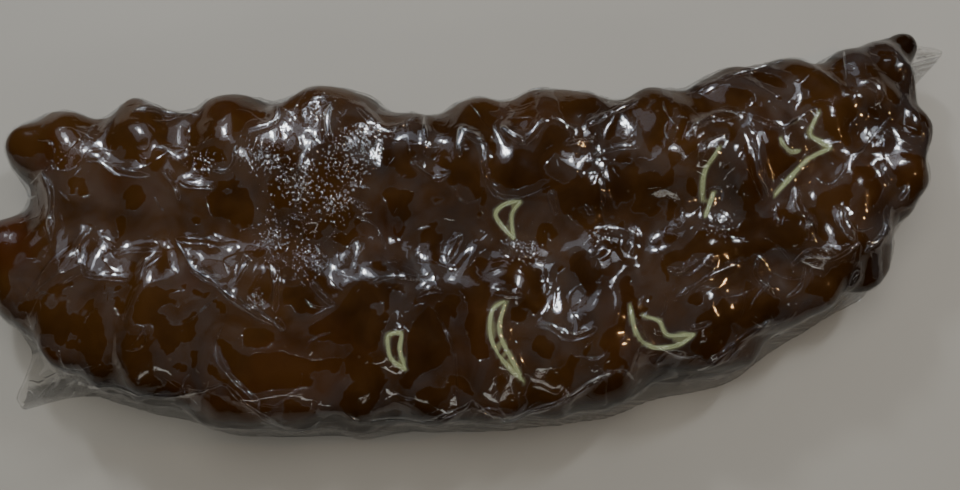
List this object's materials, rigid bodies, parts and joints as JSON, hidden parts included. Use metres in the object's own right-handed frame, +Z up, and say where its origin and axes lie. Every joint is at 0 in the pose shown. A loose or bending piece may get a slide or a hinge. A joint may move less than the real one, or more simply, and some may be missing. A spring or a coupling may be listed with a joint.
{
  "type": "sea cucumber",
  "caption": "Life-size prepared sea cucumber lying flat: two fat ribbed rolls of glossy brown flesh along a deep furrow, warty at the vent end.",
  "frame": {"origin": "centre of the bounding box on the floor that the sole lies on", "axes": "+X along the body from the mouth end to the vent end, +Y to the animal's right, +Z up out of the back"},
  "size_m": [0.39, 0.1698, 0.0533],
  "materials": {
    "back_skin": "wet, jelly-like body wall, almost black brown, glowing amber where it is thin, very glossy",
    "sole_skin": "wet underside, a little paler brown than the back, pressed flat where it lies",
    "mouth_skin": "thin, puckered dark brown skin round a body opening, glossy",
    "clear_film": "thin clear plastic film drawn tight over the body by a vacuum, creased, with hard bright reflections"
  },
  "bodies": {
    "root": {"mouth": "mouth_skin", "vent": "mouth_skin", "sole": "sole_skin", "mouth_end_right": "back_skin", "fore_right": "back_skin", "middle_right": "back_skin", "rear_right": "back_skin", "vent_end_right": "back_skin", "mouth_end_left": "back_skin", "fore_left": "back_skin", "middle_left": "back_skin", "rear_left": "back_skin", "vent_end_left": "back_skin"}
  },
  "joints": []
}
